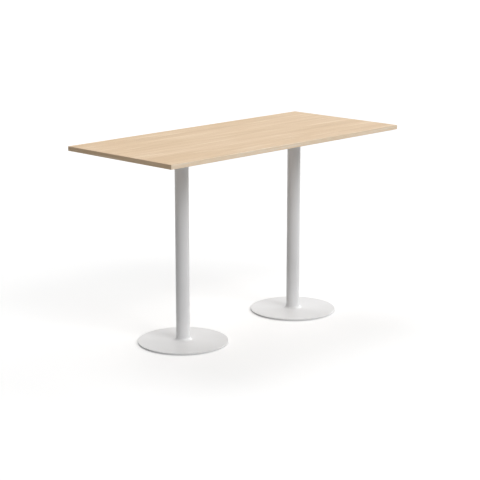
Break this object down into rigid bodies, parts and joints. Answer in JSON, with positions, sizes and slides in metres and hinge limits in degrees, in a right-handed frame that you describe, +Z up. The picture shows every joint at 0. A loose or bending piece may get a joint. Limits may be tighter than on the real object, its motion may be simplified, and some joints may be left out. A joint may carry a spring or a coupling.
{
  "type": "bar table",
  "caption": "Tall rectangular bar table with a light wood-decor laminate top on white tubular columns with flat round disc bases and screw-out levelling feet.",
  "frame": {"origin": "on the floor, midway between the two stands, under the middle of the top", "axes": "+X along the top's length, from the left stand to the right one; +Y across the top, from its front edge to its rear edge; +Z up"},
  "size_m": [1.8, 0.8, 1.1],
  "materials": {
    "oak_laminate": "satin wood-decor laminate, grain along the length",
    "oak_edge": "satin wood-decor plastic edge band",
    "core_board": "raw particle board",
    "white_powder_coat": "fine-textured white powder coat, satin",
    "weight_paint": "black primer on flame-cut steel plate",
    "zinc_steel": "bright zinc-plated steel",
    "bare_steel": "sawn bare steel",
    "glide_nylon": "moulded dark nylon"
  },
  "bodies": {
    "table": {"top_core": "core_board", "top_laminate": "oak_laminate", "underside_laminate": "oak_laminate", "edge_band_front": "oak_edge", "edge_band_rear": "oak_edge", "edge_band_left": "oak_edge", "edge_band_right": "oak_edge", "left_mounting_plate": "white_powder_coat", "left_thread_inserts": "zinc_steel", "left_top_screws": "zinc_steel", "left_plate_bolts": "zinc_steel", "left_column_tube": "white_powder_coat", "left_column_top_disc": "bare_steel", "left_column_foot_disc": "bare_steel", "left_base_cover": "white_powder_coat", "left_base_weight": "weight_paint", "left_base_bolts": "zinc_steel", "right_mounting_plate": "white_powder_coat", "right_thread_inserts": "zinc_steel", "right_top_screws": "zinc_steel", "right_plate_bolts": "zinc_steel", "right_column_tube": "white_powder_coat", "right_column_top_disc": "bare_steel", "right_column_foot_disc": "bare_steel", "right_base_cover": "white_powder_coat", "right_base_weight": "weight_paint", "right_base_bolts": "zinc_steel"},
    "left_foot_1_stud": {"left_foot_stud_1": "zinc_steel"},
    "left_foot_1_pad": {"left_foot_pad_1": "glide_nylon"},
    "left_foot_2_stud": {"left_foot_stud_2": "zinc_steel"},
    "left_foot_2_pad": {"left_foot_pad_2": "glide_nylon"},
    "left_foot_3_stud": {"left_foot_stud_3": "zinc_steel"},
    "left_foot_3_pad": {"left_foot_pad_3": "glide_nylon"},
    "left_foot_4_stud": {"left_foot_stud_4": "zinc_steel"},
    "left_foot_4_pad": {"left_foot_pad_4": "glide_nylon"},
    "right_foot_1_stud": {"right_foot_stud_1": "zinc_steel"},
    "right_foot_1_pad": {"right_foot_pad_1": "glide_nylon"},
    "right_foot_2_stud": {"right_foot_stud_2": "zinc_steel"},
    "right_foot_2_pad": {"right_foot_pad_2": "glide_nylon"},
    "right_foot_3_stud": {"right_foot_stud_3": "zinc_steel"},
    "right_foot_3_pad": {"right_foot_pad_3": "glide_nylon"},
    "right_foot_4_stud": {"right_foot_stud_4": "zinc_steel"},
    "right_foot_4_pad": {"right_foot_pad_4": "glide_nylon"}
  },
  "joints": [
    {"name": "left_foot_1_lift", "type": "slide", "parent": "table", "child": "left_foot_1_stud", "axis": [0, 0, 1], "range_m": [-0.005, 0]},
    {"name": "left_foot_1_turn", "type": "hinge", "parent": "left_foot_1_stud", "child": "left_foot_1_pad", "pos_m": [-0.31565, 0.13435, 0], "axis": [0, 0, 1], "range_deg": [-1440, 0]},
    {"name": "left_foot_2_lift", "type": "slide", "parent": "table", "child": "left_foot_2_stud", "axis": [0, 0, 1], "range_m": [-0.005, 0]},
    {"name": "left_foot_2_turn", "type": "hinge", "parent": "left_foot_2_stud", "child": "left_foot_2_pad", "pos_m": [-0.58435, 0.13435, 0], "axis": [0, 0, 1], "range_deg": [-1440, 0]},
    {"name": "left_foot_3_lift", "type": "slide", "parent": "table", "child": "left_foot_3_stud", "axis": [0, 0, 1], "range_m": [-0.005, 0]},
    {"name": "left_foot_3_turn", "type": "hinge", "parent": "left_foot_3_stud", "child": "left_foot_3_pad", "pos_m": [-0.58435, -0.13435, 0], "axis": [0, 0, 1], "range_deg": [-1440, 0]},
    {"name": "left_foot_4_lift", "type": "slide", "parent": "table", "child": "left_foot_4_stud", "axis": [0, 0, 1], "range_m": [-0.005, 0]},
    {"name": "left_foot_4_turn", "type": "hinge", "parent": "left_foot_4_stud", "child": "left_foot_4_pad", "pos_m": [-0.31565, -0.13435, 0], "axis": [0, 0, 1], "range_deg": [-1440, 0]},
    {"name": "right_foot_1_lift", "type": "slide", "parent": "table", "child": "right_foot_1_stud", "axis": [0, 0, 1], "range_m": [-0.005, 0]},
    {"name": "right_foot_1_turn", "type": "hinge", "parent": "right_foot_1_stud", "child": "right_foot_1_pad", "pos_m": [0.58435, 0.13435, 0], "axis": [0, 0, 1], "range_deg": [-1440, 0]},
    {"name": "right_foot_2_lift", "type": "slide", "parent": "table", "child": "right_foot_2_stud", "axis": [0, 0, 1], "range_m": [-0.005, 0]},
    {"name": "right_foot_2_turn", "type": "hinge", "parent": "right_foot_2_stud", "child": "right_foot_2_pad", "pos_m": [0.31565, 0.13435, 0], "axis": [0, 0, 1], "range_deg": [-1440, 0]},
    {"name": "right_foot_3_lift", "type": "slide", "parent": "table", "child": "right_foot_3_stud", "axis": [0, 0, 1], "range_m": [-0.005, 0]},
    {"name": "right_foot_3_turn", "type": "hinge", "parent": "right_foot_3_stud", "child": "right_foot_3_pad", "pos_m": [0.31565, -0.13435, 0], "axis": [0, 0, 1], "range_deg": [-1440, 0]},
    {"name": "right_foot_4_lift", "type": "slide", "parent": "table", "child": "right_foot_4_stud", "axis": [0, 0, 1], "range_m": [-0.005, 0]},
    {"name": "right_foot_4_turn", "type": "hinge", "parent": "right_foot_4_stud", "child": "right_foot_4_pad", "pos_m": [0.58435, -0.13435, 0], "axis": [0, 0, 1], "range_deg": [-1440, 0]}
  ],
  "couplings": [
    {"joint": "left_foot_1_lift", "follows": "left_foot_1_turn", "m_per_rad": 0.00019894},
    {"joint": "left_foot_2_lift", "follows": "left_foot_2_turn", "m_per_rad": 0.00019894},
    {"joint": "left_foot_3_lift", "follows": "left_foot_3_turn", "m_per_rad": 0.00019894},
    {"joint": "left_foot_4_lift", "follows": "left_foot_4_turn", "m_per_rad": 0.00019894},
    {"joint": "right_foot_1_lift", "follows": "right_foot_1_turn", "m_per_rad": 0.00019894},
    {"joint": "right_foot_2_lift", "follows": "right_foot_2_turn", "m_per_rad": 0.00019894},
    {"joint": "right_foot_3_lift", "follows": "right_foot_3_turn", "m_per_rad": 0.00019894},
    {"joint": "right_foot_4_lift", "follows": "right_foot_4_turn", "m_per_rad": 0.00019894}
  ]
}
